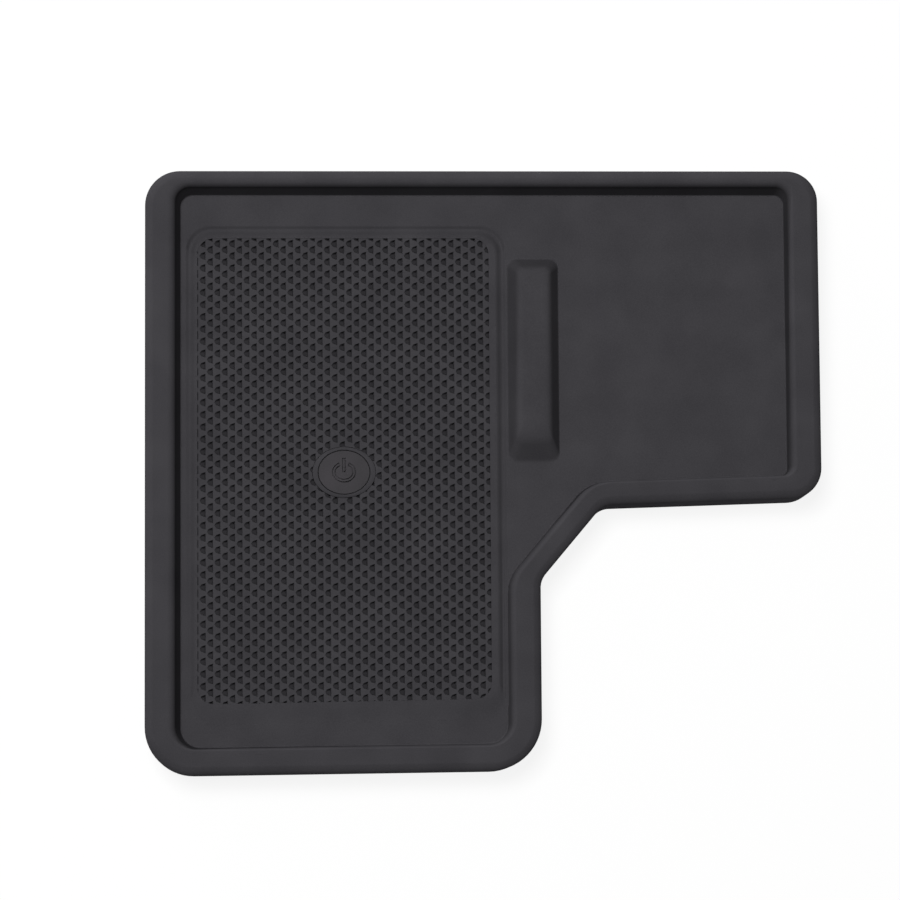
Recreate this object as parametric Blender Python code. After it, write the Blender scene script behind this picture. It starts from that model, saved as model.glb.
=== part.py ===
"""Wireless charging pad: an L-shaped soft-touch tray with a phone patch, a storage bay and a sprung power key.

Metres, +Z up. The origin is at the middle of the footprint, on the surface that the feet stand on.
+X runs along the back edge to the storage bay, and +Y runs from the front of the phone bay to the back.
"""

import math

import bmesh
import bpy
import numpy as np

MM = 0.001

# Footprint of the tray
BODY_WIDTH = 218.5 * MM
BODY_DEPTH = 195.3 * MM
ARM_DEPTH = 109.0 * MM
LEG_WIDTH = 127.1 * MM
NOTCH_RUN = 20.4 * MM
NOTCH_RISE = 24.2 * MM
FRONT_LEAN = 1.2 * MM
ARM_LEAN = 2.2 * MM
FRONT_LEFT_RADIUS = 15.4 * MM
LEG_RADIUS = 16.5 * MM
NOTCH_RADIUS = 7.0 * MM
ARM_RADIUS = 10.0 * MM
BACK_RIGHT_RADIUS = 10.0 * MM
BACK_LEFT_RADIUS = 11.3 * MM

# Rim, measured from the outer wall to the edge of the floor, and the floor's own corners
FRONT_RIM = 9.2 * MM
LEG_RIM = 10.9 * MM
NOTCH_RIM = 8.8 * MM
ARM_RIM = 8.4 * MM
RIGHT_RIM = 10.9 * MM
BACK_RIM = 7.4 * MM
LEFT_RIM = 11.7 * MM
FLOOR_CORNER = 4.0 * MM
RIM_OUTER_ROUND = 3.0 * MM
RIM_INNER_ROUND = 1.8 * MM
RIM_FOOT_FILLET = 0.8 * MM
RIM_INNER_DRAFT = 0.7 * MM

# Heights and walls
FIT_GAP = 0.3 * MM
FOOT_HEIGHT = 1.0 * MM
BASE_THICKNESS = 2.0 * MM
CAVITY_HEIGHT = 6.7 * MM
FLOOR_THICKNESS = 1.8 * MM
RIM_HEIGHT = 8.0 * MM
TRAY_WALL = 2.0 * MM

# Phone patch and divider rib, placed from the left and back edges
PATCH_WIDTH = 100.6 * MM
PATCH_LENGTH = 157.2 * MM
PATCH_LEFT = 13.8 * MM
PATCH_BACK = 18.3 * MM
PATCH_RISE = 0.6 * MM
PATCH_SLOPE = 1.0 * MM
PATCH_RADIUS = 7.7 * MM
FIELD_BORDER = 3.0 * MM
PIT_PITCH_X = 4.74 * MM
PIT_PITCH_Y = 3.99 * MM
PIT_DEPTH = 0.85 * MM
PIT_SINK = 0.1 * MM
RIB_LEFT = 117.2 * MM
RIB_BACK = 27.9 * MM
RIB_WIDTH = 16.4 * MM
RIB_LENGTH = 66.8 * MM
RIB_HEIGHT = 6.0 * MM
RIB_FLANK = 4.4 * MM
RIB_BACK_RAMP = 4.6 * MM
RIB_FRONT_RAMP = 10.4 * MM
RIB_EDGE = 0.8 * MM
RIB_FOOT_RADIUS = 3.0 * MM
RIB_TOP_RADIUS = 1.2 * MM

# Power key, its ring and its switch
KEY_WIDTH = 16.6 * MM
KEY_DEPTH = 14.1 * MM
KEY_DROP = 0.8 * MM
KEY_PROUD = 0.2 * MM
KEY_EDGE = 0.4 * MM
KEY_TRAVEL = 0.5 * MM
KEY_FLANGE = 1.3 * MM
KEY_FLANGE_THICKNESS = 1.0 * MM
BEZEL_WALL = 1.7 * MM
BEZEL_BROW = 1.0 * MM
BEZEL_PROUD = 0.35 * MM
BEZEL_EDGE = 0.3 * MM
BEZEL_FLANGE = 1.5 * MM
BEZEL_FLANGE_THICKNESS = 1.1 * MM
SWITCH_BOARD_WIDTH = 24.0 * MM
SWITCH_BOARD_DEPTH = 20.0 * MM
SWITCH_BOARD_THICKNESS = 1.0 * MM
SWITCH_CASE_SIDE = 6.0 * MM
SWITCH_CASE_HEIGHT = 1.5 * MM
PLUNGER_RADIUS = 1.6 * MM
DOME_RADIUS = 1.5 * MM
DOME_RISE = 0.13 * MM
DOME_THICKNESS = 0.12 * MM
DOME_CLEARANCE = 0.1 * MM

# Charging coil, its ferrite and its carrier
COIL_TURNS = 8
COIL_INNER_RADIUS = 14.6 * MM
COIL_PITCH = 1.6 * MM
COIL_WIRE = 1.1 * MM
COIL_POINTS_PER_TURN = 24
FERRITE_THICKNESS = 1.0 * MM
FERRITE_MARGIN = 1.5 * MM
HOLDER_THICKNESS = 1.5 * MM
HOLDER_MARGIN = 1.5 * MM
HOLDER_RADIUS = 6.0 * MM
HOLDER_LEG_RADIUS = 2.5 * MM
HOLDER_LEG_INSET = 4.0 * MM

# Main board and what it carries
BOARD_WIDTH = 54.0 * MM
BOARD_THICKNESS = 1.2 * MM
BOARD_BOSS_CLEARANCE = 5.5 * MM
BOARD_FRONT_MARGIN = 7.8 * MM
BOARD_SETBACK = 1.5 * MM
BOARD_RADIUS = 1.5 * MM
POST_HEIGHT = 1.2 * MM
POST_RADIUS = 2.6 * MM
POST_INSET = 5.0 * MM
SOCKET_WIDTH = 9.0 * MM
SOCKET_HEIGHT = 3.2 * MM
SOCKET_DEPTH = 7.4 * MM
SOCKET_WALL = 0.3 * MM
SOCKET_RECESS = 0.6 * MM
TONGUE_WIDTH = 6.7 * MM
TONGUE_THICKNESS = 0.7 * MM
TONGUE_SETBACK = 1.2 * MM
CHIP_SIDE = 7.0 * MM
CHIP_HEIGHT = 1.0 * MM
MOSFET_SIDE = 3.3 * MM
MOSFET_PITCH = 6.0 * MM
CAPACITOR_LENGTH = 5.7 * MM
CAPACITOR_WIDTH = 5.0 * MM
CAPACITOR_HEIGHT = 2.2 * MM
CAPACITOR_PITCH = 7.5 * MM
INDUCTOR_SIDE = 10.0 * MM
INDUCTOR_HEIGHT = 3.0 * MM
INDUCTOR_RADIUS = 2.0 * MM
RIBBON_WIDTH = 8.0 * MM
RIBBON_THICKNESS = 0.4 * MM
RIBBON_LAP = 1.0 * MM

# Fasteners and feet
BASE_SCREW_RADIUS = 1.1 * MM
BASE_SCREW_HEAD_RADIUS = 2.2 * MM
BASE_SCREW_HEAD_HEIGHT = 0.7 * MM
BASE_SCREW_LENGTH = 7.0 * MM
BOSS_RADIUS = 3.0 * MM
BOSS_INSET_X = 20.0 * MM
BOSS_INSET_Y = 16.0 * MM
BOARD_SCREW_RADIUS = 0.9 * MM
BOARD_SCREW_HEAD_RADIUS = 1.9 * MM
BOARD_SCREW_HEAD_HEIGHT = 0.8 * MM
BOARD_SCREW_END = 0.3 * MM
FOOT_RADIUS = 6.0 * MM
FOOT_SPACING = 14.0 * MM

# Facets
CORNER_STEPS = 6
NOTCH_STEPS = 3
ROUND_STEPS = 3
OVAL_STEPS = 40
DISC_STEPS = 24
RING_STEPS = 48
CUT_MARGIN = 1.0 * MM

# Levels and places worked out from the sizes above
LEFT = -BODY_WIDTH / 2
RIGHT = BODY_WIDTH / 2
FRONT = -BODY_DEPTH / 2
BACK = BODY_DEPTH / 2
BASE_UNDER = FOOT_HEIGHT + FIT_GAP
BASE_TOP = BASE_UNDER + BASE_THICKNESS
FLOOR_UNDER = BASE_TOP + CAVITY_HEIGHT
FLOOR_TOP = FLOOR_UNDER + FLOOR_THICKNESS
PATCH_TOP = FLOOR_TOP + PATCH_RISE
RIM_TOP = FLOOR_TOP + RIM_HEIGHT
KEY_X = LEFT + PATCH_LEFT + PATCH_WIDTH / 2
KEY_Y = BACK - PATCH_BACK - PATCH_LENGTH / 2 - KEY_DROP
RIMS = np.array([FRONT_RIM, LEG_RIM, NOTCH_RIM, ARM_RIM, RIGHT_RIM, BACK_RIM, LEFT_RIM])


def material(name, colour, roughness, metallic=0.0):
    """A plain Principled surface."""
    made = bpy.data.materials.new(name)
    made.use_nodes = True
    shader = made.node_tree.nodes["Principled BSDF"]
    shader.inputs["Base Color"].default_value = (*colour, 1.0)
    shader.inputs["Roughness"].default_value = roughness
    shader.inputs["Metallic"].default_value = metallic
    return made


def object_of(name, mesh, finish):
    """A named object that shows a mesh in one finish."""
    made = bpy.data.objects.new(name, mesh)
    bpy.context.scene.collection.objects.link(made)
    mesh.materials.append(finish)
    return made


def loft(name, loops, finish, closed=False):
    """Loops with equal counts of points joined by quads, with end caps, or back to the first loop if closed."""
    count = len(loops[0])
    rows = len(loops)
    points = np.concatenate(loops)
    last = rows if closed else rows - 1
    faces = []
    for row in range(last):
        here = row * count
        there = ((row + 1) % rows) * count
        for i in range(count):
            j = (i + 1) % count
            faces.append((here + i, here + j, there + j, there + i))
    if not closed:
        faces.append(tuple(range(count - 1, -1, -1)))
        faces.append(tuple((rows - 1) * count + i for i in range(count)))
    mesh = bpy.data.meshes.new(name)
    mesh.from_pydata(points.tolist(), [], faces)
    shape = bmesh.new()
    shape.from_mesh(mesh)
    bmesh.ops.recalc_face_normals(shape, faces=shape.faces)
    shape.to_mesh(mesh)
    shape.free()
    mesh.shade_smooth()
    mesh.set_sharp_from_angle(angle=math.radians(35))
    return object_of(name, mesh, finish)


def at_height(outline, z):
    """A flat outline lifted to a height."""
    return np.column_stack([outline, np.full(len(outline), z)])


def filleted(corners, radii, steps):
    """A polygon whose corners are arcs: each arc touches both of its edges."""
    corners = np.asarray(corners, float)
    points = []
    for i, corner in enumerate(corners):
        to_last = corners[i - 1] - corner
        to_next = corners[(i + 1) % len(corners)] - corner
        to_last /= np.linalg.norm(to_last)
        to_next /= np.linalg.norm(to_next)
        half = math.acos(float(np.clip(to_last @ to_next, -1, 1))) / 2
        middle = (to_last + to_next) / np.linalg.norm(to_last + to_next)
        centre = corner + middle * radii[i] / math.sin(half)
        start = corner + to_last * radii[i] / math.tan(half) - centre
        end = corner + to_next * radii[i] / math.tan(half) - centre
        turn = math.atan2(start[0] * end[1] - start[1] * end[0], start @ end)
        for step in np.linspace(0, turn, steps[i] + 1):
            spin = np.array([[math.cos(step), -math.sin(step)], [math.sin(step), math.cos(step)]])
            points.append(centre + spin @ start)
    return np.array(points)


def inset_corners(corners, insets):
    """The corners of a polygon whose edges each move inwards by their own inset."""
    corners = np.asarray(corners, float)
    along = np.roll(corners, -1, axis=0) - corners
    along /= np.linalg.norm(along, axis=1)[:, None]
    moved = corners + np.column_stack([-along[:, 1], along[:, 0]]) * np.asarray(insets)[:, None]
    result = []
    for i in range(len(corners)):
        across = np.column_stack([along[i - 1], -along[i]])
        reach = np.linalg.solve(across, moved[i] - moved[i - 1])
        result.append(moved[i - 1] + along[i - 1] * reach[0])
    return np.array(result)


FOOTPRINT = [
    (LEFT, FRONT),
    (LEFT + LEG_WIDTH, FRONT + FRONT_LEAN),
    (LEFT + LEG_WIDTH, BACK - ARM_DEPTH - NOTCH_RISE),
    (LEFT + LEG_WIDTH + NOTCH_RUN, BACK - ARM_DEPTH),
    (RIGHT, BACK - ARM_DEPTH + ARM_LEAN),
    (RIGHT, BACK),
    (LEFT, BACK),
]
FOOTPRINT_RADII = np.array(
    [FRONT_LEFT_RADIUS, LEG_RADIUS, NOTCH_RADIUS, NOTCH_RADIUS, ARM_RADIUS, BACK_RIGHT_RADIUS, BACK_LEFT_RADIUS]
)
HOLLOW_CORNERS = np.array([False, False, True, True, False, False, False])
FOOTPRINT_STEPS = [NOTCH_STEPS if hollow else CORNER_STEPS for hollow in HOLLOW_CORNERS]


def ring(insets, z):
    """The footprint drawn in by an inset for each edge, with its corner arcs tightened or opened to suit."""
    insets = np.broadcast_to(insets, RIMS.shape)
    share = float(np.clip(insets.mean() / RIMS.mean(), 0, 1))
    tightened = FOOTPRINT_RADII + (FLOOR_CORNER - FOOTPRINT_RADII) * share
    radii = np.where(HOLLOW_CORNERS, FOOTPRINT_RADII + insets.mean(), tightened)
    return at_height(filleted(inset_corners(FOOTPRINT, insets), radii, FOOTPRINT_STEPS), z)


def rectangle(x0, x1, y0, y1, radius, z, steps=4):
    """A rectangle with round corners at a height."""
    corners = [(x0, y0), (x1, y0), (x1, y1), (x0, y1)]
    return at_height(filleted(corners, [radius] * 4, [steps] * 4), z)


def oval(width, depth, z, x=KEY_X, y=KEY_Y, steps=OVAL_STEPS):
    """An ellipse at a height."""
    turn = np.arange(steps) * 2 * math.pi / steps
    return np.column_stack([x + width / 2 * np.cos(turn), y + depth / 2 * np.sin(turn), np.full(steps, z)])


def disc(radius, z, x, y, steps=DISC_STEPS):
    """A circle at a height."""
    return oval(2 * radius, 2 * radius, z, x, y, steps)


def box(name, x, y, z0, width, depth, height, finish):
    """A block that stands on a height, centred at x and y."""
    half_width = width / 2
    half_depth = depth / 2
    corners = np.array(
        [
            (x - half_width, y - half_depth),
            (x + half_width, y - half_depth),
            (x + half_width, y + half_depth),
            (x - half_width, y + half_depth),
        ]
    )
    return loft(name, [at_height(corners, z0), at_height(corners, z0 + height)], finish)


def tool(made):
    """Marks an object as a cutter or an addition that only shapes another one."""
    made.hide_render = True
    made.display_type = "WIRE"
    return made


def shaped(target, other, operation):
    """Adds another object to a target, or cuts it away."""
    change = target.modifiers.new(other.name, "BOOLEAN")
    change.operation = operation
    change.solver = "EXACT"
    change.object = tool(other)


def place(made, x, y, z):
    """Moves an object's origin to a point and leaves its shape where it is."""
    coordinates = np.empty(len(made.data.vertices) * 3)
    made.data.vertices.foreach_get("co", coordinates)
    coordinates = coordinates.reshape(-1, 3) - np.array([x, y, z])
    made.data.vertices.foreach_set("co", coordinates.ravel())
    made.location = (x, y, z)


for old in list(bpy.data.objects):
    bpy.data.objects.remove(old)

SOFT_TOUCH = material("soft_touch_black", (0.045, 0.044, 0.047), 0.75)
KEY_FINISH = material("key_rubber", (0.047, 0.045, 0.049), 0.7)
HARD_PLASTIC = material("base_plastic", (0.02, 0.02, 0.021), 0.55)
CARRIER_PLASTIC = material("carrier_plastic", (0.55, 0.55, 0.53), 0.5)
COPPER = material("enamelled_copper", (0.62, 0.27, 0.12), 0.3, 1.0)
FERRITE = material("ferrite", (0.05, 0.05, 0.055), 0.6)
BOARD_GREEN = material("board_laminate", (0.02, 0.16, 0.07), 0.4)
CHIP_BLACK = material("chip_resin", (0.015, 0.015, 0.016), 0.5)
STEEL = material("bright_steel", (0.6, 0.6, 0.62), 0.3, 1.0)
CAPACITOR_FINISH = material("film_capacitor", (0.35, 0.22, 0.12), 0.5)
CABLE_FILM = material("cable_film", (0.45, 0.25, 0.06), 0.4)
FOOT_RUBBER = material("foot_rubber", (0.012, 0.012, 0.012), 0.9)


def arc(steps):
    """Pairs of sine and one minus cosine over a quarter turn."""
    turn = np.linspace(0, math.pi / 2, steps + 1)
    return list(zip(np.sin(turn), 1 - np.cos(turn)))


# Moulded tray: a shell that rises from its skirt over a hollow rim to the floor
INNER_RUN = RIM_FOOT_FILLET + RIM_INNER_DRAFT + RIM_INNER_ROUND
tray_rings = [ring(RIMS, FLOOR_TOP)]
for sine, fall in arc(ROUND_STEPS)[1:]:
    tray_rings.append(ring(RIMS - RIM_FOOT_FILLET * sine, FLOOR_TOP + RIM_FOOT_FILLET * fall))
for sine, fall in arc(ROUND_STEPS):
    inset = RIMS - RIM_FOOT_FILLET - RIM_INNER_DRAFT - RIM_INNER_ROUND * fall
    tray_rings.append(ring(inset, RIM_TOP - RIM_INNER_ROUND * (1 - sine)))
for sine, fall in arc(ROUND_STEPS):
    tray_rings.append(ring(RIM_OUTER_ROUND * (1 - sine), RIM_TOP - RIM_OUTER_ROUND * fall))
tray_rings.append(ring(0.0, BASE_UNDER))
tray_rings.append(ring(TRAY_WALL, BASE_UNDER))
tray_rings.append(ring(TRAY_WALL, RIM_TOP - RIM_OUTER_ROUND))
tray_rings.append(ring(RIM_OUTER_ROUND, RIM_TOP - TRAY_WALL))
tray_rings.append(ring(RIMS - INNER_RUN - FIT_GAP, RIM_TOP - TRAY_WALL))
tray_rings.append(ring(RIMS - RIM_FOOT_FILLET - TRAY_WALL, FLOOR_UNDER))
top_tray = loft("top_tray", tray_rings, SOFT_TOUCH)

patch_x0 = LEFT + PATCH_LEFT
patch_x1 = patch_x0 + PATCH_WIDTH
patch_y1 = BACK - PATCH_BACK
patch_y0 = patch_y1 - PATCH_LENGTH
sunk = FLOOR_THICKNESS / 2
patch_rings = [
    rectangle(patch_x0, patch_x1, patch_y0, patch_y1, PATCH_RADIUS, FLOOR_TOP - sunk),
    rectangle(patch_x0, patch_x1, patch_y0, patch_y1, PATCH_RADIUS, FLOOR_TOP),
    rectangle(
        patch_x0 + PATCH_SLOPE,
        patch_x1 - PATCH_SLOPE,
        patch_y0 + PATCH_SLOPE,
        patch_y1 - PATCH_SLOPE,
        PATCH_RADIUS - PATCH_SLOPE,
        PATCH_TOP,
    ),
]
shaped(top_tray, loft("patch_form", patch_rings, SOFT_TOUCH), "UNION")


def rib_ring(rise, z, radius):
    """The rib's outline at a share of its height, drawn in by its flanks and end ramps."""
    x0 = LEFT + RIB_LEFT + RIB_FLANK * rise
    x1 = LEFT + RIB_LEFT + RIB_WIDTH - RIB_FLANK * rise
    y0 = BACK - RIB_BACK - RIB_LENGTH + RIB_FRONT_RAMP * rise
    y1 = BACK - RIB_BACK - RIB_BACK_RAMP * rise
    return rectangle(x0, x1, y0, y1, radius, z)


RIB_SHOULDER = (RIB_HEIGHT - RIB_EDGE) / RIB_HEIGHT
RIB_TOP_INSET = RIB_EDGE / RIB_FLANK
rib_rings = [
    rib_ring(0, FLOOR_TOP - sunk, RIB_FOOT_RADIUS),
    rib_ring(0, FLOOR_TOP, RIB_FOOT_RADIUS),
    rib_ring(RIB_SHOULDER, FLOOR_TOP + RIB_HEIGHT - RIB_EDGE, RIB_TOP_RADIUS),
    rib_ring(RIB_SHOULDER + RIB_TOP_INSET, FLOOR_TOP + RIB_HEIGHT, RIB_TOP_RADIUS),
]
shaped(top_tray, loft("rib_form", rib_rings, SOFT_TOUCH), "UNION")

# Screw bosses under the floor, one near each corner of the footprint
boss_places = [
    (LEFT + BOSS_INSET_X, FRONT + BOSS_INSET_Y),
    (LEFT + LEG_WIDTH - BOSS_INSET_X, FRONT + BOSS_INSET_Y),
    (LEFT + LEG_WIDTH - BOSS_INSET_X, BACK - ARM_DEPTH - BOSS_INSET_Y),
    (RIGHT - BOSS_INSET_X, BACK - ARM_DEPTH + BOSS_INSET_Y),
    (RIGHT - BOSS_INSET_X, BACK - BOSS_INSET_Y),
    (LEFT + BOSS_INSET_X, BACK - BOSS_INSET_Y),
]
foot_sides = [1, -1, -1, -1, -1, 1]
SCREW_HEAD_UNDER = BASE_UNDER + FIT_GAP
SCREW_HEAD_TOP = SCREW_HEAD_UNDER + BASE_SCREW_HEAD_HEIGHT
SCREW_TIP = SCREW_HEAD_TOP + BASE_SCREW_LENGTH
for number, (x, y) in enumerate(boss_places, 1):
    boss = loft(
        f"boss_form_{number}",
        [disc(BOSS_RADIUS, BASE_TOP + FIT_GAP, x, y), disc(BOSS_RADIUS, FLOOR_UNDER + sunk, x, y)],
        SOFT_TOUCH,
    )
    shaped(top_tray, boss, "UNION")
for number, (x, y) in enumerate(boss_places, 1):
    bore_radius = BASE_SCREW_RADIUS + FIT_GAP
    bore_rings = [disc(bore_radius, BASE_TOP, x, y), disc(bore_radius, SCREW_TIP + FIT_GAP, x, y)]
    shaped(top_tray, loft(f"boss_bore_{number}", bore_rings, SOFT_TOUCH), "DIFFERENCE")

# Oval hole for the key's ring
BEZEL_INNER_WIDTH = KEY_WIDTH + 2 * FIT_GAP
BEZEL_INNER_DEPTH = KEY_DEPTH + 2 * FIT_GAP
BEZEL_WIDTH = BEZEL_INNER_WIDTH + 2 * BEZEL_WALL
BEZEL_DEPTH = BEZEL_INNER_DEPTH + 2 * BEZEL_BROW
HOLE_WIDTH = BEZEL_WIDTH + 2 * FIT_GAP
HOLE_DEPTH = BEZEL_DEPTH + 2 * FIT_GAP
hole_rings = [
    oval(HOLE_WIDTH, HOLE_DEPTH, FLOOR_UNDER - CUT_MARGIN),
    oval(HOLE_WIDTH, HOLE_DEPTH, PATCH_TOP + CUT_MARGIN),
]
shaped(top_tray, loft("key_hole", hole_rings, SOFT_TOUCH), "DIFFERENCE")

# Grip field of the patch: a close lattice of diamond pits with four faces each
pit_half_x = PIT_PITCH_X / 2
pit_half_y = PIT_PITCH_Y / 2
field_x = (patch_x0 + patch_x1) / 2
field_y = (patch_y0 + patch_y1) / 2
field_columns = int((PATCH_WIDTH / 2 - FIELD_BORDER) / pit_half_x)
field_rows = int((PATCH_LENGTH / 2 - FIELD_BORDER) / pit_half_y)
PIT_SIDES = [(1, 0), (0, 1), (-1, 0), (0, -1)]


def lattice_point(column, row):
    """A pit's bottom where column and row add up to an even number, and a crest between pits where they don't."""
    depth = PIT_SINK if (column + row) % 2 else PIT_SINK + PIT_DEPTH
    return field_x + column * pit_half_x, field_y + row * pit_half_y, PATCH_TOP - depth


def clears_key(column, row):
    """Whether a pit at a lattice point keeps clear of the oval hole."""
    x, y, _ = lattice_point(column, row)
    across = (x - KEY_X) / (HOLE_WIDTH / 2 + pit_half_x)
    along = (y - KEY_Y) / (HOLE_DEPTH / 2 + pit_half_y)
    return math.hypot(across, along) > 1


def pit_form(name):
    """A slab over the patch whose underside is the lattice, with a pyramid for each pit and upright sides."""
    shape = bmesh.new()
    points = {}

    def corner(column, row):
        """The lattice point's vertex, made once and shared by the pits round it."""
        if (column, row) not in points:
            points[column, row] = shape.verts.new(lattice_point(column, row))
        return points[column, row]

    for column in range(1 - field_columns, field_columns):
        for row in range(1 - field_rows, field_rows):
            if (column + row) % 2 == 0 and clears_key(column, row):
                rim = [corner(column + across, row + along) for across, along in PIT_SIDES]
                for here, there in zip(rim, rim[1:] + rim[:1]):
                    shape.faces.new((corner(column, row), here, there))
    border = [edge for edge in shape.edges if edge.is_boundary]
    sides = bmesh.ops.extrude_edge_only(shape, edges=border)["geom"]
    for vertex in [item for item in sides if isinstance(item, bmesh.types.BMVert)]:
        vertex.co.z = PATCH_TOP + CUT_MARGIN
    brim = [item for item in sides if isinstance(item, bmesh.types.BMEdge) and item.is_boundary]
    bmesh.ops.triangle_fill(shape, edges=brim, use_beauty=True)
    bmesh.ops.recalc_face_normals(shape, faces=shape.faces)
    mesh = bpy.data.meshes.new(name)
    shape.to_mesh(mesh)
    shape.free()
    return object_of(name, mesh, SOFT_TOUCH)


shaped(top_tray, pit_form("pit_form"), "DIFFERENCE")

# Slot in the back wall for the power inlet
BOARD_UNDER = BASE_TOP + POST_HEIGHT + FIT_GAP
BOARD_TOP = BOARD_UNDER + BOARD_THICKNESS
SOCKET_UNDER = BOARD_TOP + FIT_GAP
board_right = RIGHT - BOSS_INSET_X - BOSS_RADIUS - BOARD_BOSS_CLEARANCE
board_x = board_right - BOARD_WIDTH / 2
board_back = BACK - TRAY_WALL - BOARD_SETBACK
board_front = BACK - ARM_DEPTH + BOARD_FRONT_MARGIN
board_depth = board_back - board_front
board_y = (board_back + board_front) / 2
slot_depth = TRAY_WALL + 2 * CUT_MARGIN
slot = box(
    "inlet_slot",
    board_x,
    BACK - TRAY_WALL / 2,
    SOCKET_UNDER - FIT_GAP,
    SOCKET_WIDTH + 2 * FIT_GAP,
    slot_depth,
    SOCKET_HEIGHT + 2 * FIT_GAP,
    SOFT_TOUCH,
)
shaped(top_tray, slot, "DIFFERENCE")

# Base cover with its posts, counterbores and screw holes
base_inset = TRAY_WALL + FIT_GAP
base_cover = loft("base_cover", [ring(base_inset, BASE_UNDER), ring(base_inset, BASE_TOP)], HARD_PLASTIC)
post_x = BOARD_WIDTH / 2 - POST_INSET
post_y = board_depth / 2 - POST_INSET
post_places = [
    (board_x - post_x, board_y - post_y),
    (board_x + post_x, board_y - post_y),
    (board_x + post_x, board_y + post_y),
    (board_x - post_x, board_y + post_y),
]
for number, (x, y) in enumerate(post_places, 1):
    post_rings = [
        disc(POST_RADIUS, BASE_TOP - BASE_THICKNESS / 2, x, y),
        disc(POST_RADIUS, BASE_TOP + POST_HEIGHT, x, y),
    ]
    shaped(base_cover, loft(f"post_form_{number}", post_rings, HARD_PLASTIC), "UNION")
for number, (x, y) in enumerate(post_places, 1):
    bore_radius = BOARD_SCREW_RADIUS + FIT_GAP
    bore_rings = [
        disc(bore_radius, BASE_TOP - FIT_GAP, x, y),
        disc(bore_radius, BASE_TOP + POST_HEIGHT + CUT_MARGIN, x, y),
    ]
    shaped(base_cover, loft(f"post_bore_{number}", bore_rings, HARD_PLASTIC), "DIFFERENCE")
for number, (x, y) in enumerate(boss_places, 1):
    head_radius = BASE_SCREW_HEAD_RADIUS + FIT_GAP
    shank_radius = BASE_SCREW_RADIUS + FIT_GAP
    counterbore_rings = [
        disc(head_radius, BASE_UNDER - CUT_MARGIN, x, y),
        disc(head_radius, SCREW_HEAD_TOP + FIT_GAP, x, y),
        disc(shank_radius, SCREW_HEAD_TOP + FIT_GAP, x, y),
        disc(shank_radius, BASE_TOP + CUT_MARGIN, x, y),
    ]
    shaped(base_cover, loft(f"base_hole_{number}", counterbore_rings, HARD_PLASTIC), "DIFFERENCE")

# Screws that hold the base cover to the tray
for number, (x, y) in enumerate(boss_places, 1):
    screw_rings = [
        disc(BASE_SCREW_HEAD_RADIUS, SCREW_HEAD_UNDER, x, y),
        disc(BASE_SCREW_HEAD_RADIUS, SCREW_HEAD_TOP, x, y),
        disc(BASE_SCREW_RADIUS, SCREW_HEAD_TOP, x, y),
        disc(BASE_SCREW_RADIUS, SCREW_TIP, x, y),
    ]
    loft(f"base_screw_{number}", screw_rings, STEEL)

# Rubber feet beside the screws
for number, ((x, y), side) in enumerate(zip(boss_places, foot_sides), 1):
    foot_x = x + side * FOOT_SPACING
    loft(f"rubber_foot_{number}", [disc(FOOT_RADIUS, 0, foot_x, y), disc(FOOT_RADIUS, FOOT_HEIGHT, foot_x, y)], FOOT_RUBBER)

# Oval ring round the key, held by a flange under the floor
BEZEL_TOP = PATCH_TOP + BEZEL_PROUD
BEZEL_FLANGE_TOP = FLOOR_UNDER - FIT_GAP
BEZEL_UNDER = BEZEL_FLANGE_TOP - BEZEL_FLANGE_THICKNESS
flange_width = BEZEL_WIDTH + 2 * BEZEL_FLANGE
flange_depth = BEZEL_DEPTH + 2 * BEZEL_FLANGE
bezel_rings = [
    oval(BEZEL_INNER_WIDTH, BEZEL_INNER_DEPTH, BEZEL_UNDER),
    oval(flange_width, flange_depth, BEZEL_UNDER),
    oval(flange_width, flange_depth, BEZEL_FLANGE_TOP),
    oval(BEZEL_WIDTH, BEZEL_DEPTH, BEZEL_FLANGE_TOP),
    oval(BEZEL_WIDTH, BEZEL_DEPTH, BEZEL_TOP - BEZEL_EDGE),
    oval(BEZEL_WIDTH - 2 * BEZEL_EDGE, BEZEL_DEPTH - 2 * BEZEL_EDGE, BEZEL_TOP),
    oval(BEZEL_INNER_WIDTH + BEZEL_EDGE, BEZEL_INNER_DEPTH + BEZEL_EDGE, BEZEL_TOP),
    oval(BEZEL_INNER_WIDTH, BEZEL_INNER_DEPTH, BEZEL_TOP - BEZEL_EDGE / 2),
]
loft("button_bezel", bezel_rings, SOFT_TOUCH, closed=True)

# Power key: an oval cap with a flange under the ring that keeps it in
KEY_TOP = PATCH_TOP + KEY_PROUD
KEY_FLANGE_TOP = BEZEL_UNDER - FIT_GAP
KEY_UNDER = KEY_FLANGE_TOP - KEY_FLANGE_THICKNESS
key_rings = [
    oval(KEY_WIDTH + 2 * KEY_FLANGE, KEY_DEPTH + 2 * KEY_FLANGE, KEY_UNDER),
    oval(KEY_WIDTH + 2 * KEY_FLANGE, KEY_DEPTH + 2 * KEY_FLANGE, KEY_FLANGE_TOP),
    oval(KEY_WIDTH, KEY_DEPTH, KEY_FLANGE_TOP),
    oval(KEY_WIDTH, KEY_DEPTH, KEY_TOP - KEY_EDGE),
    oval(KEY_WIDTH - KEY_EDGE, KEY_DEPTH - KEY_EDGE, KEY_TOP - KEY_EDGE / 3),
    oval(KEY_WIDTH - 2 * KEY_EDGE, KEY_DEPTH - 2 * KEY_EDGE, KEY_TOP),
]
power_button = loft("power_button", key_rings, KEY_FINISH)
place(power_button, KEY_X, KEY_Y, KEY_UNDER)

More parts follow.
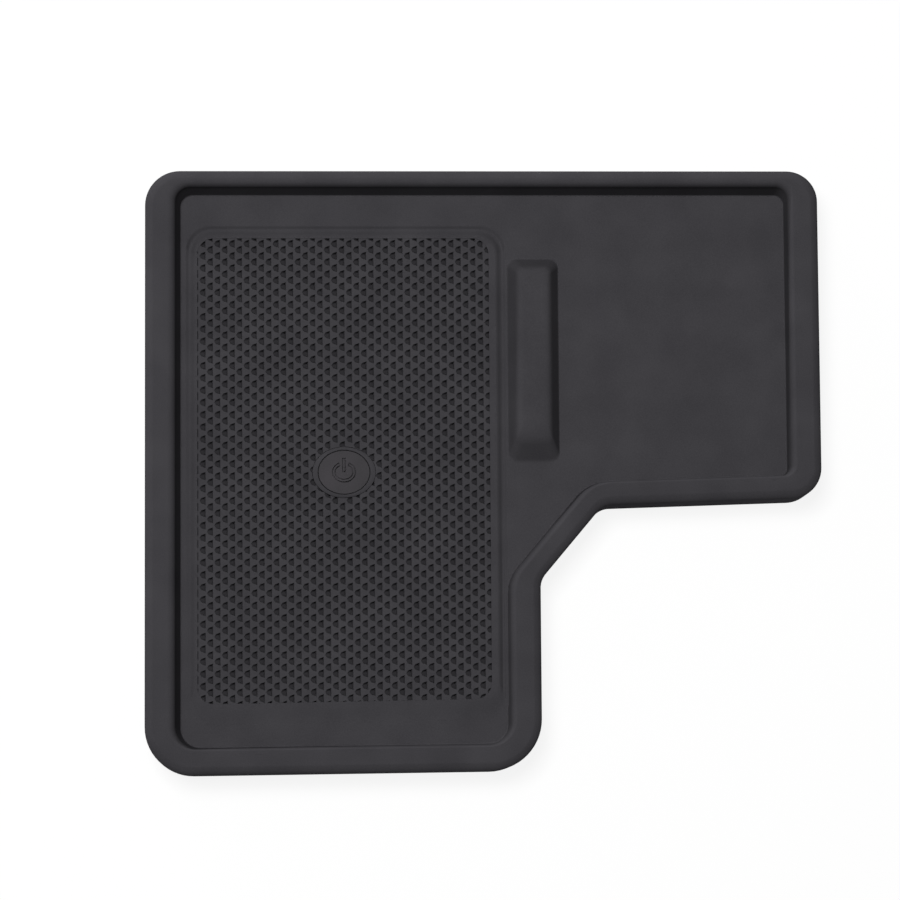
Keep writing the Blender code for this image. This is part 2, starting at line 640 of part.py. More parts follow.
# Switch board under the key, with the switch on it
SWITCH_BOARD_UNDER = BASE_TOP + FIT_GAP
SWITCH_CASE_UNDER = SWITCH_BOARD_UNDER + SWITCH_BOARD_THICKNESS + FIT_GAP
box(
    "switch_board",
    KEY_X,
    KEY_Y,
    SWITCH_BOARD_UNDER,
    SWITCH_BOARD_WIDTH,
    SWITCH_BOARD_DEPTH,
    SWITCH_BOARD_THICKNESS,
    BOARD_GREEN,
)
bore = PLUNGER_RADIUS + FIT_GAP
half_case = SWITCH_CASE_SIDE / 2
case_corner = SWITCH_CASE_SIDE / 10
case_steps = DISC_STEPS // 4 - 1
bore_turn = (np.arange(DISC_STEPS) + 0.5) * 2 * math.pi / DISC_STEPS - math.pi
bore_outline = np.column_stack([KEY_X + bore * np.cos(bore_turn), KEY_Y + bore * np.sin(bore_turn)])
case_outline = rectangle(
    KEY_X - half_case, KEY_X + half_case, KEY_Y - half_case, KEY_Y + half_case, case_corner, 0, case_steps
)[:, :2]
case_rings = [
    at_height(bore_outline, SWITCH_CASE_UNDER),
    at_height(case_outline, SWITCH_CASE_UNDER),
    at_height(case_outline, SWITCH_CASE_UNDER + SWITCH_CASE_HEIGHT),
    at_height(bore_outline, SWITCH_CASE_UNDER + SWITCH_CASE_HEIGHT),
]
loft("switch_case", case_rings, CHIP_BLACK, closed=True)
DOME_TOP = SWITCH_CASE_UNDER + DOME_RISE + DOME_THICKNESS
dome_rings = []
for share in (0.3, 0.65, 1.0):
    dome_rings.append(disc(DOME_RADIUS * share, SWITCH_CASE_UNDER + DOME_RISE * (1 - share**2), KEY_X, KEY_Y))
for share in (1.0, 0.65, 0.3):
    dome_rings.append(disc(DOME_RADIUS * share, DOME_TOP - DOME_RISE * share**2, KEY_X, KEY_Y))
loft("switch_snap_dome", dome_rings, STEEL)
PLUNGER_UNDER = DOME_TOP + KEY_TRAVEL + DOME_CLEARANCE
plunger_rings = [
    disc(PLUNGER_RADIUS, PLUNGER_UNDER, KEY_X, KEY_Y),
    disc(PLUNGER_RADIUS, KEY_UNDER - FIT_GAP, KEY_X, KEY_Y),
]
switch_plunger = loft("switch_plunger", plunger_rings, CARRIER_PLASTIC)
place(switch_plunger, KEY_X, KEY_Y, PLUNGER_UNDER)

# Charging coil: one wire wound in a flat spiral close under the floor
COIL_Z = FLOOR_UNDER - FIT_GAP - COIL_WIRE / 2
COIL_OUTER_RADIUS = COIL_INNER_RADIUS + COIL_TURNS * COIL_PITCH
coil_turn = np.arange(COIL_TURNS * COIL_POINTS_PER_TURN + 1) * 2 * math.pi / COIL_POINTS_PER_TURN
coil_radius = COIL_INNER_RADIUS + COIL_PITCH * coil_turn / (2 * math.pi)
coil_points = np.column_stack(
    [
        KEY_X + coil_radius * np.cos(coil_turn),
        KEY_Y + coil_radius * np.sin(coil_turn),
        np.full(len(coil_turn), COIL_Z),
    ]
)
first_run = coil_points[0] - np.array([0, COIL_WIRE, 0])
last_run = coil_points[-1] + np.array([0, COIL_WIRE, 0])
coil_points = np.vstack([first_run, coil_points, last_run])
coil_curve = bpy.data.curves.new("charging_coil", "CURVE")
coil_curve.dimensions = "3D"
coil_curve.bevel_depth = COIL_WIRE / 2
coil_curve.bevel_resolution = 1
coil_curve.use_fill_caps = True
coil_spline = coil_curve.splines.new("POLY")
coil_spline.points.add(len(coil_points) - 1)
coil_spline.points.foreach_set("co", np.column_stack([coil_points, np.ones(len(coil_points))]).ravel())
object_of("charging_coil", coil_curve, COPPER)
order = np.arange(len(coil_points))
apart = np.linalg.norm(coil_points[:, None] - coil_points[None], axis=2)
far_along = np.abs(order[:, None] - order[None]) > COIL_POINTS_PER_TURN // 2
coil_gap = float(apart[far_along].min()) - COIL_WIRE
print(f"charging_coil least gap to itself {coil_gap / MM:.2f} mm")

# Ferrite ring under the coil
FERRITE_TOP = COIL_Z - COIL_WIRE / 2 - FIT_GAP
FERRITE_UNDER = FERRITE_TOP - FERRITE_THICKNESS
FERRITE_RADIUS = COIL_OUTER_RADIUS + COIL_WIRE / 2 + FERRITE_MARGIN
EYE_RADIUS = COIL_INNER_RADIUS - COIL_WIRE
ferrite_rings = [
    disc(EYE_RADIUS, FERRITE_UNDER, KEY_X, KEY_Y, RING_STEPS),
    disc(FERRITE_RADIUS, FERRITE_UNDER, KEY_X, KEY_Y, RING_STEPS),
    disc(FERRITE_RADIUS, FERRITE_TOP, KEY_X, KEY_Y, RING_STEPS),
    disc(EYE_RADIUS, FERRITE_TOP, KEY_X, KEY_Y, RING_STEPS),
]
loft("ferrite_ring", ferrite_rings, FERRITE, closed=True)

# Carrier plate that holds the ferrite and the coil on four legs
HOLDER_TOP = FERRITE_UNDER - FIT_GAP
HOLDER_UNDER = HOLDER_TOP - HOLDER_THICKNESS
half_holder = FERRITE_RADIUS + HOLDER_MARGIN
holder_rings = [
    rectangle(
        KEY_X - half_holder, KEY_X + half_holder, KEY_Y - half_holder, KEY_Y + half_holder, HOLDER_RADIUS, z
    )
    for z in (HOLDER_UNDER, HOLDER_TOP)
]
coil_holder = loft("coil_holder", holder_rings, CARRIER_PLASTIC)
leg_reach = half_holder - HOLDER_LEG_INSET
leg_places = [(-leg_reach, -leg_reach), (leg_reach, -leg_reach), (leg_reach, leg_reach), (-leg_reach, leg_reach)]
for number, (x, y) in enumerate(leg_places, 1):
    leg_rings = [
        disc(HOLDER_LEG_RADIUS, BASE_TOP + FIT_GAP, KEY_X + x, KEY_Y + y),
        disc(HOLDER_LEG_RADIUS, HOLDER_TOP - HOLDER_THICKNESS / 2, KEY_X + x, KEY_Y + y),
    ]
    shaped(coil_holder, loft(f"leg_form_{number}", leg_rings, CARRIER_PLASTIC), "UNION")
eye_rings = [
    disc(EYE_RADIUS, HOLDER_UNDER - CUT_MARGIN, KEY_X, KEY_Y, RING_STEPS),
    disc(EYE_RADIUS, HOLDER_TOP + CUT_MARGIN, KEY_X, KEY_Y, RING_STEPS),
]
shaped(coil_holder, loft("eye_cutter", eye_rings, CARRIER_PLASTIC), "DIFFERENCE")

# Main board on the base cover's posts, with its screws
half_board_width = BOARD_WIDTH / 2
half_board_depth = board_depth / 2
board_rings = [
    rectangle(
        board_x - half_board_width,
        board_x + half_board_width,
        board_y - half_board_depth,
        board_y + half_board_depth,
        BOARD_RADIUS,
        z,
    )
    for z in (BOARD_UNDER, BOARD_TOP)
]
main_board = loft("main_board", board_rings, BOARD_GREEN)
for number, (x, y) in enumerate(post_places, 1):
    hole_radius = BOARD_SCREW_RADIUS + FIT_GAP
    hole_rings = [
        disc(hole_radius, BOARD_UNDER - CUT_MARGIN, x, y),
        disc(hole_radius, BOARD_TOP + CUT_MARGIN, x, y),
    ]
    shaped(main_board, loft(f"board_hole_{number}", hole_rings, BOARD_GREEN), "DIFFERENCE")
    screw_rings = [
        disc(BOARD_SCREW_RADIUS, BASE_TOP + BOARD_SCREW_END, x, y),
        disc(BOARD_SCREW_RADIUS, BOARD_TOP + FIT_GAP, x, y),
        disc(BOARD_SCREW_HEAD_RADIUS, BOARD_TOP + FIT_GAP, x, y),
        disc(BOARD_SCREW_HEAD_RADIUS, BOARD_TOP + FIT_GAP + BOARD_SCREW_HEAD_HEIGHT, x, y),
    ]
    loft(f"board_screw_{number}", screw_rings, STEEL)


# Power inlet: a folded steel shell with a contact tongue, mouth towards the back
def socket_ring(inset, y):
    """The socket's round-ended section, drawn in by an inset, at a depth."""
    half_width = SOCKET_WIDTH / 2 - inset
    half_height = SOCKET_HEIGHT / 2 - inset
    section = rectangle(-half_width, half_width, -half_height, half_height, half_height * 0.98, 0)
    middle = SOCKET_UNDER + SOCKET_HEIGHT / 2
    return np.column_stack([board_x + section[:, 0], np.full(len(section), y), middle + section[:, 1]])


socket_mouth = BACK - SOCKET_RECESS
socket_back = socket_mouth - SOCKET_DEPTH
shell_rings = [
    socket_ring(SOCKET_WALL, socket_back + SOCKET_WALL),
    socket_ring(SOCKET_WALL, socket_mouth),
    socket_ring(0, socket_mouth),
    socket_ring(0, socket_back),
]
loft("usb_socket_shell", shell_rings, STEEL)
tongue_back = socket_back + SOCKET_WALL + FIT_GAP
tongue_front = socket_mouth - TONGUE_SETBACK
box(
    "usb_socket_tongue",
    board_x,
    (tongue_back + tongue_front) / 2,
    SOCKET_UNDER + (SOCKET_HEIGHT - TONGUE_THICKNESS) / 2,
    TONGUE_WIDTH,
    tongue_front - tongue_back,
    TONGUE_THICKNESS,
    CHIP_BLACK,
)

# Parts on the main board: input choke behind the inlet, controller, bridge transistors, resonance capacitors
inductor_y = socket_back - INDUCTOR_SIDE
half_inductor = INDUCTOR_SIDE / 2
inductor_rings = [
    rectangle(
        board_x - half_inductor,
        board_x + half_inductor,
        inductor_y - half_inductor,
        inductor_y + half_inductor,
        INDUCTOR_RADIUS,
        z,
    )
    for z in (SOCKET_UNDER, SOCKET_UNDER + INDUCTOR_HEIGHT)
]
loft("power_inductor", inductor_rings, FERRITE)
box("controller_chip", board_x, board_y, SOCKET_UNDER, CHIP_SIDE, CHIP_SIDE, CHIP_HEIGHT, CHIP_BLACK)
mosfet_y = board_y - CHIP_SIDE - MOSFET_PITCH
capacitor_y = mosfet_y - CAPACITOR_WIDTH - MOSFET_PITCH
for number in range(4):
    step = number - 1.5
    mosfet_x = board_x + step * MOSFET_PITCH
    capacitor_x = board_x + step * CAPACITOR_PITCH
    box(f"power_mosfet_{number + 1}", mosfet_x, mosfet_y, SOCKET_UNDER, MOSFET_SIDE, MOSFET_SIDE, CHIP_HEIGHT, CHIP_BLACK)
    box(
        f"resonance_capacitor_{number + 1}",
        capacitor_x,
        capacitor_y,
        SOCKET_UNDER,
        CAPACITOR_LENGTH,
        CAPACITOR_WIDTH,
        CAPACITOR_HEIGHT,
        CAPACITOR_FINISH,
    )

# Ribbon cable from the switch board to the main board, flat on the base cover
ribbon_x0 = KEY_X + SWITCH_BOARD_WIDTH / 2 + FIT_GAP
ribbon_x1 = board_x - half_board_width + RIBBON_LAP
box(
    "ribbon_cable",
    (ribbon_x0 + ribbon_x1) / 2,
    KEY_Y,
    BASE_TOP + FIT_GAP,
    ribbon_x1 - ribbon_x0,
    RIBBON_WIDTH,
    RIBBON_THICKNESS,
    CABLE_FILM,
)
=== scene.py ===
"""Looks of the charging pad: soft-touch tray, pitted phone patch, power key, underside and inner parts."""

import math

import bmesh
import bpy
import numpy as np
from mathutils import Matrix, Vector


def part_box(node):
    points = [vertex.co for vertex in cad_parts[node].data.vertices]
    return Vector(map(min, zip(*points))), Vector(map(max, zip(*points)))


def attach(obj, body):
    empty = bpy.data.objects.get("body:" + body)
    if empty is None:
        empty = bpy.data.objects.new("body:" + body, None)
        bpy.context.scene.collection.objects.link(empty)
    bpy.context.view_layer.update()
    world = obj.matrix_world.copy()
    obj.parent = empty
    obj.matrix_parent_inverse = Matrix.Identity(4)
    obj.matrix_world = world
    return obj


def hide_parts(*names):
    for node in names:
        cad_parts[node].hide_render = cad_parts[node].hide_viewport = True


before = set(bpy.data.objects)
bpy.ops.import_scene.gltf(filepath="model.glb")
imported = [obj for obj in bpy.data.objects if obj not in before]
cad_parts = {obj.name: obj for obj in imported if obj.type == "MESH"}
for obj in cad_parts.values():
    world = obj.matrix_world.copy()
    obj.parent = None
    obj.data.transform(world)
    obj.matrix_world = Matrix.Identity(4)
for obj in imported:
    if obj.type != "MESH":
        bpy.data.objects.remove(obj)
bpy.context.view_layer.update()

# Tray moulding
# The pad's body: one L-shaped shell of dark grey thermoplastic elastomer, injection moulded with a
# soft-touch, spark-eroded grain. Its hollow rim ends below in a skirt that takes the base cover.
MM = 0.001
tray_low, tray_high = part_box("top_tray")
LEFT, _, SKIRT = tray_low
RIGHT, BACK, RIM_TOP = tray_high
BODY_DEPTH = 195.3 * MM
FRONT = BACK - BODY_DEPTH
ARM_DEPTH = 109.0 * MM
ARM_Y = BACK - ARM_DEPTH
ARM_LEAN = 2.2 * MM
LEG_WIDTH = 127.1 * MM
LEG_X = LEFT + LEG_WIDTH
FRONT_LEAN = 1.2 * MM
NOTCH_RUN = 20.4 * MM
NOTCH_RISE = 24.2 * MM
RIM_HEIGHT = 8.0 * MM
FLOOR_THICKNESS = 1.8 * MM
FLOOR_TOP = RIM_TOP - RIM_HEIGHT
FLOOR_UNDER = FLOOR_TOP - FLOOR_THICKNESS
TRAY_WALL = 2.0 * MM
BEVEL_RUN = 2.8 * MM
BEVEL_DROP = 2.6 * MM
BEVEL_PULL_IN = 0.3 * MM
BEVEL_PULL_DOWN = 0.9 * MM
INNER_DROP = 3.0 * MM
FOOT_FILLET = 0.5 * MM
HOLLOW_MARGIN = 0.3 * MM
HOLLOW_TOP = RIM_TOP - TRAY_WALL - HOLLOW_MARGIN
ROUND_STEPS = 8
CORNER_STEPS = 14
EDGE_ANGLE = 40
FLAT_LEAD = 90
# Corners go round from the front left one, by way of the notch. Radii go by corner, and the rest by the
# edge that starts there: front, leg's side, notch, arm's front, right, back, left.
FOOTPRINT = np.array(
    [
        (LEFT, FRONT),
        (LEG_X, FRONT + FRONT_LEAN),
        (LEG_X, ARM_Y - NOTCH_RISE),
        (LEG_X + NOTCH_RUN, ARM_Y),
        (RIGHT, ARM_Y + ARM_LEAN),
        (RIGHT, BACK),
        (LEFT, BACK),
    ]
)
OUTER_RADII = np.array([15.4, 16.5, 7.0, 7.0, 10.0, 10.0, 11.3]) * MM
FLOOR_RADII = np.array([6.0, 5.8, 15.0, 15.0, 2.0, 3.0, 3.7]) * MM
RIMS = np.array([9.2, 10.9, 8.8, 8.4, 10.9, 7.4, 11.7]) * MM
INNER_ROUNDS = np.array([0.9, 2.0, 1.6, 0.9, 1.9, 2.0, 2.7]) * MM
INNER_DRAFTS = np.array([0.3, 0.5, 0.5, 0.3, 0.5, 1.4, 1.3]) * MM
INNER_RUNS = FOOT_FILLET + INNER_DRAFTS + INNER_ROUNDS


def rounded(corners, radii):
    """Each corner becomes an arc that touches both edges: its centre lies on the corner's bisector, as
    far out as the radius over the sine of half the angle."""
    back = np.roll(corners, 1, axis=0) - corners
    ahead = np.roll(corners, -1, axis=0) - corners
    back /= np.linalg.norm(back, axis=1, keepdims=True)
    ahead /= np.linalg.norm(ahead, axis=1, keepdims=True)
    half = np.arccos((back * ahead).sum(axis=1)) / 2
    bisector = back + ahead
    bisector /= np.linalg.norm(bisector, axis=1, keepdims=True)
    centre = corners + bisector * (radii / np.sin(half))[:, None]
    reach = (radii / np.tan(half))[:, None]
    start = corners + back * reach - centre
    end = corners + ahead * reach - centre
    turn = np.arctan2(start[:, 0] * end[:, 1] - start[:, 1] * end[:, 0], (start * end).sum(axis=1))
    angle = turn[:, None] * np.linspace(0, 1, CORNER_STEPS + 1)
    x = centre[:, :1] + np.cos(angle) * start[:, :1] - np.sin(angle) * start[:, 1:]
    y = centre[:, 1:] + np.sin(angle) * start[:, :1] + np.cos(angle) * start[:, 1:]
    return np.stack([x, y], axis=-1).reshape(-1, 2)


def drawn_in(corners, insets):
    """Each edge's line, its normal times a point, gains its inset, and each corner moves to where the
    lines of its two edges meet again."""
    along = np.roll(corners, -1, axis=0) - corners
    along /= np.linalg.norm(along, axis=1, keepdims=True)
    normal = np.column_stack([-along[:, 1], along[:, 0]])
    level = (normal * corners).sum(axis=1) + insets
    last, last_level = np.roll(normal, 1, axis=0), np.roll(level, 1)
    cross = last[:, 0] * normal[:, 1] - last[:, 1] * normal[:, 0]
    x = (last_level * normal[:, 1] - level * last[:, 1]) / cross
    y = (last[:, 0] * level - normal[:, 0] * last_level) / cross
    return np.column_stack([x, y])


def tray_ring(insets, z):
    """The footprint drawn in at a height, its corner radii going from the outer wall's to the floor's as
    the inset goes from none to the rim's width."""
    share = np.clip(np.mean(insets / RIMS), 0, 1)
    radii = OUTER_RADII + (FLOOR_RADII - OUTER_RADII) * share
    outline = rounded(drawn_in(FOOTPRINT, insets), radii)
    return np.column_stack([outline, np.full(len(outline), z)])


def shaped(points, faces):
    """An editable shape from points and the faces between them."""
    mesh = bpy.data.meshes.new("draft")
    mesh.from_pydata(points.tolist(), [], faces)
    shape = bmesh.new()
    shape.from_mesh(mesh)
    bpy.data.meshes.remove(mesh)
    return shape


def placed(name, shape):
    """Turns an editable shape's faces outwards and puts it into the scene, with its place in its mesh."""
    bmesh.ops.recalc_face_normals(shape, faces=shape.faces)
    mesh = bpy.data.meshes.new(name)
    shape.to_mesh(mesh)
    shape.free()
    made = bpy.data.objects.new(name, mesh)
    bpy.context.scene.collection.objects.link(made)
    return made


def lofted(name, rings, closed=False):
    """A skin over rings of equal counts: point i of a ring joins point i of the next. The end rings get
    caps, or the last ring joins the first."""
    rings = np.asarray(rings)
    rows, count = rings.shape[:2]
    number = np.arange(rows * count).reshape(rows, count)
    if closed:
        number = np.vstack([number, number[:1]])
    here, there = number[:-1], number[1:]
    quads = np.stack([here, np.roll(here, -1, 1), np.roll(there, -1, 1), there], axis=-1)
    faces = quads.reshape(-1, 4).tolist()
    if not closed:
        faces += [number[0][::-1].tolist(), number[-1].tolist()]
    return placed(name, shaped(rings.reshape(-1, 3), faces))


def worked(target, other, operation):
    """Joins another solid to a target, cuts it away or keeps what both hold, and removes the other."""
    change = target.modifiers.new(operation, "BOOLEAN")
    change.operation = operation
    change.object = other
    graph = bpy.context.evaluated_depsgraph_get()
    mesh = bpy.data.meshes.new_from_object(target.evaluated_get(graph))
    target.modifiers.clear()
    target.data = mesh
    bpy.data.objects.remove(other)


def smooth(made, degrees=EDGE_ANGLE):
    """Shades a piece round, sharp past an angle, with the large flat faces keeping their own normals."""
    made.data.shade_smooth()
    made.data.set_sharp_from_angle(angle=math.radians(degrees))
    weigh = made.modifiers.new("flat_faces_lead", "WEIGHTED_NORMAL")
    weigh.keep_sharp = True
    weigh.weight = FLAT_LEAD


# The rim's profile, from the floor outwards: a foot fillet, a drafted inner wall that rounds over to the
# top, an outer round on a quadratic curve that bends to a pull point, the outer wall, and back up inside
# the hollow to the floor's underside. A quarter round goes by the sine one way and by one less the
# cosine the other.
quarter = np.linspace(0, math.pi / 2, ROUND_STEPS + 1)
quarter_round = list(zip(np.sin(quarter), 1 - np.cos(quarter)))
tray_rings = []
for rise, fall in quarter_round:
    tray_rings.append(tray_ring(RIMS - FOOT_FILLET * rise, FLOOR_TOP + FOOT_FILLET * fall))
for rise, fall in quarter_round:
    inner_wall = RIMS - FOOT_FILLET - INNER_DRAFTS - INNER_ROUNDS * fall
    tray_rings.append(tray_ring(inner_wall, RIM_TOP - INNER_DROP * (1 - rise)))
bevel_t = np.linspace(0, 1, ROUND_STEPS + 1)
bevel_in = BEVEL_RUN * (1 - bevel_t) ** 2 + BEVEL_PULL_IN * 2 * bevel_t * (1 - bevel_t)
bevel_down = BEVEL_PULL_DOWN * 2 * bevel_t * (1 - bevel_t) + BEVEL_DROP * bevel_t**2
for inset, down in zip(bevel_in, bevel_down):
    tray_rings.append(tray_ring(inset, RIM_TOP - down))
tray_rings += [
    tray_ring(0.0, SKIRT),
    tray_ring(TRAY_WALL, SKIRT),
    tray_ring(TRAY_WALL, HOLLOW_TOP - BEVEL_DROP / 2),
    tray_ring(TRAY_WALL + HOLLOW_MARGIN, HOLLOW_TOP),
    tray_ring(RIMS - INNER_RUNS - HOLLOW_MARGIN, HOLLOW_TOP),
    tray_ring(RIMS - FOOT_FILLET - TRAY_WALL, FLOOR_UNDER),
]
tray = lofted("tray_moulding", tray_rings)

# Divider rib of the tray
# A long bar between the phone bay and the storage bay, moulded in one with the floor. Its sides rise
# steeply and round over to a crest, and its front end slopes down slowly.
RIB_LEFT_INSET = 117.2 * MM
RIB_BACK_INSET = 27.9 * MM
RIB_WIDTH = 17.0 * MM
RIB_LENGTH = 66.8 * MM
RIB_HEIGHT = 6.0 * MM
# Radii are the foot's and the crest's. Flanks go by edge: front, right, back, left.
RIB_RADII = np.array([3.0, 1.4]) * MM
RIB_FLANKS = np.array([14.0, 6.3, 7.4, 6.3]) * MM
RIB_SUNK = FLOOR_THICKNESS / 2
SHOULDER_SAMPLES = 401
SHOULDER_FOOT = 0.06
SHOULDER_HOLD = 0.4
SHOULDER_EASE = 3.0
FORM_STEPS = 24
FORM_OVERLAP = 0.005 * MM


def box_corners(x0, x1, y0, y1):
    """The corners of a rectangle, round from its front left one."""
    return np.array([(x0, y0), (x1, y0), (x1, y1), (x0, y1)])


def shoulder(t):
    """A rise from 0 to 1, the running sum of a slope that grows over a short foot, holds, and eases
    off."""
    along = np.linspace(0, 1, SHOULDER_SAMPLES)
    easing = np.clip((along - SHOULDER_HOLD) / (1 - SHOULDER_HOLD), 0, 1)
    height = np.cumsum(np.clip(along / SHOULDER_FOOT, 0, 1) * (1 - easing) ** SHOULDER_EASE)
    return np.interp(t, along, (height - height[0]) / (height[-1] - height[0]))


def plain_floor(outline):
    """The same height all along: that of the tray's floor."""
    return np.full(len(outline), FLOOR_TOP)


def mound(name, corners, flanks, radii, floor_under, top, sunk, profile):
    """A rectangle that rises from a floor to a top: its edges draw in and its radius goes from the foot's
    to the crest's evenly, while its height follows a profile. A skirt below it is sunk into the floor."""
    foot_radius, crest_radius = radii
    rings = []
    for share in np.linspace(0, 1, FORM_STEPS + 1):
        radius = foot_radius + (crest_radius - foot_radius) * share
        outline = rounded(drawn_in(corners, flanks * share), radius)
        foot = floor_under(outline) - FORM_OVERLAP
        rings.append(np.column_stack([outline, foot + (top - foot) * profile(share)]))
    skirt = rings[0] - (0.0, 0.0, sunk)
    return lofted(name, [skirt, *rings])


rib_left = LEFT + RIB_LEFT_INSET
rib_back = BACK - RIB_BACK_INSET
rib_corners = box_corners(rib_left, rib_left + RIB_WIDTH, rib_back - RIB_LENGTH, rib_back)
rib_top = FLOOR_TOP + RIB_HEIGHT
rib = mound("rib_form", rib_corners, RIB_FLANKS, RIB_RADII, plain_floor, rib_top, RIB_SUNK, shoulder)
worked(tray, rib, "UNION")

# Raised phone patch of the tray
# A low plateau in one with the floor, with a long lead-in at its front and a shallow groove round its
# back and sides. A pocket in it takes the pitted field, a hole the key's ring, and a slot in the rear
# wall the power inlet.
PATCH_LEFT_INSET = 13.8 * MM
PATCH_BACK_INSET = 18.3 * MM
PATCH_WIDTH = 100.6 * MM
PATCH_LENGTH = 157.2 * MM
PATCH_LEAN = 1.5 * MM
PATCH_RISE = 0.6 * MM
PATCH_TOP = FLOOR_TOP + PATCH_RISE
PATCH_SUNK = 0.4 * MM
# Radii are the foot's and the crest's. Flanks and spreads go by edge: front, right, back, left.
PATCH_RADII = np.array([7.7, 6.0]) * MM
PATCH_RADIUS = PATCH_RADII[0]
PATCH_FLANKS = np.array([7.0, 2.3, 2.6, 2.2]) * MM
PATCH_SPREAD = np.array([5.0, 2.6, 1.3, 0.9]) * MM
GROOVE_FLANK = 1.2 * MM
GROOVE_DEPTH = 1.0 * MM
GROOVE_BACK_SHARE = 0.5
GROOVE_STEPS = 8
SWELL_EASE = 0.45
FIELD_INSET = 3.0 * MM
FIELD_RADIUS = 5.3 * MM
FIELD_DEPTH = 2.0 * MM
KEY_WIDTH = 16.6 * MM
KEY_DEPTH = 14.1 * MM
KEY_GAP = 0.3 * MM
HOLE_GROW = 2 * KEY_GAP
BEZEL_WALL = 1.7 * MM
BEZEL_BROW = 1.0 * MM
OVAL_STEPS = 96
SLOT_GAP = 0.3 * MM
CUT_PAST = 1.0 * MM
patch_left = LEFT + PATCH_LEFT_INSET
patch_back = BACK - PATCH_BACK_INSET
patch_corners = box_corners(patch_left, patch_left + PATCH_WIDTH, patch_back - PATCH_LENGTH, patch_back)
patch_corners[1, 1] += PATCH_LEAN
groove_outer = drawn_in(patch_corners, -PATCH_SPREAD)
groove_inner = drawn_in(groove_outer, GROOVE_FLANK)
groove_left, groove_front = groove_outer.min(axis=0)
groove_right, groove_back = groove_outer.max(axis=0)
key_low, key_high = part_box("power_button")
KEY_X = (key_low.x + key_high.x) / 2
KEY_Y = (key_low.y + key_high.y) / 2
oval_turn = np.arange(OVAL_STEPS) * 2 * math.pi / OVAL_STEPS


def swell(t):
    """A rise from 0 to 1: straight in the middle, drawn out flat at both ends by a sine."""
    return t - SWELL_EASE * np.sin(2 * math.pi * t) / (2 * math.pi)


def groove_floor(outline):
    """The groove's height: the tray's floor at the patch's front, from where it falls to the full depth,
    at once on the right and all along on the left, and a share of that depth behind the patch."""
    side = (outline[:, 0] - groove_left) / (groove_right - groove_left)
    reach = PATCH_LENGTH + (PATCH_RADIUS - PATCH_LENGTH) * side
    ahead = np.clip((outline[:, 1] - groove_front - PATCH_RADIUS) / reach, 0, 1)
    behind = np.clip((groove_back - outline[:, 1]) / PATCH_RADIUS, 0, 1)
    most = GROOVE_BACK_SHARE + (1 - GROOVE_BACK_SHARE) * behind
    return FLOOR_TOP - GROOVE_DEPTH * np.minimum(ahead, most)


def oval(grow, z, wall=0.0):
    """An ellipse round the key's middle: its outline plus a margin and a share of the ring's walls."""
    x = KEY_X + (KEY_WIDTH / 2 + grow + BEZEL_WALL * wall) * np.cos(oval_turn)
    y = KEY_Y + (KEY_DEPTH / 2 + grow + BEZEL_BROW * wall) * np.sin(oval_turn)
    return np.column_stack([x, y, np.full(OVAL_STEPS, z)])


def prism(name, outline, z0, z1):
    """A flat outline carried straight up between two heights."""
    return lofted(name, [np.column_stack([outline, np.full(len(outline), z)]) for z in (z0, z1)])


groove_rings = []
for share in np.linspace(0, 1, GROOVE_STEPS + 1):
    outline = rounded(drawn_in(groove_outer, GROOVE_FLANK * share), PATCH_RADIUS)
    lip = plain_floor(outline) + 2 * FORM_OVERLAP
    low = groove_floor(outline) + FORM_OVERLAP
    groove_rings.append(np.column_stack([outline, lip + (low - lip) * swell(share)]))
groove_mouth = groove_rings[0] + (0.0, 0.0, CUT_PAST)
worked(tray, lofted("patch_groove", [groove_mouth, *groove_rings]), "DIFFERENCE")
patch = mound(
    "patch_form", groove_inner, PATCH_FLANKS, PATCH_RADII, groove_floor, PATCH_TOP, PATCH_SUNK, swell
)
worked(tray, patch, "UNION")
field_outline = rounded(drawn_in(patch_corners, FIELD_INSET), FIELD_RADIUS)
field_under = PATCH_TOP - FIELD_DEPTH
cut_top = PATCH_TOP + CUT_PAST
worked(tray, prism("field_pocket", field_outline, field_under, cut_top), "DIFFERENCE")
key_hole = [oval(HOLE_GROW, z, wall=1.0) for z in (FLOOR_UNDER - CUT_PAST, cut_top)]
worked(tray, lofted("key_hole", key_hole), "DIFFERENCE")
socket_low, socket_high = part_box("usb_socket_shell")
slot_outline = box_corners(socket_low.x, socket_high.x, BACK - TRAY_WALL - CUT_PAST, BACK + CUT_PAST)
slot_outline = drawn_in(slot_outline, -SLOT_GAP)
slot = prism("inlet_slot", slot_outline, socket_low.z - SLOT_GAP, socket_high.z + SLOT_GAP)
worked(tray, slot, "DIFFERENCE")
smooth(tray)

# Finish of the tray
# Soft-touch elastomer: the eroded mould grain scatters the light, so it is matt, without a mirror image,
# and shows a speckle close to. The real grain is finer than a pixel, and is drawn as coarse as the render
# can show.
GRAIN_DETAIL = 3.0
MOTTLE_DETAIL = 2.0
PATTERN_LOW = 0.7
PATTERN_HIGH = 1.3
GLOSS_SWING = 0.06
# Places of the mix node's colour sockets, two in and one out.
MIX_DARK = 6
MIX_LIGHT = 7
MIX_COLOUR = 2


def linear(hexes):
    """An sRGB hex colour as linear red, green, blue and full alpha, by the standard's curve."""
    values = np.array([int(hexes[i : i + 2], 16) for i in (0, 2, 4)]) / 255
    curved = np.where(values <= 0.04045, values / 12.92, ((values + 0.055) / 1.055) ** 2.4)
    return (*curved.tolist(), 1.0)


def add(tree, kind, inputs, **settings):
    """A node with its settings, its sockets set to values or linked from other sockets."""
    made = tree.nodes.new(kind)
    for name, value in settings.items():
        setattr(made, name, value)
    for socket, value in inputs.items():
        if isinstance(value, bpy.types.NodeSocket):
            tree.links.new(value, made.inputs[socket])
        else:
            made.inputs[socket].default_value = value
    return made


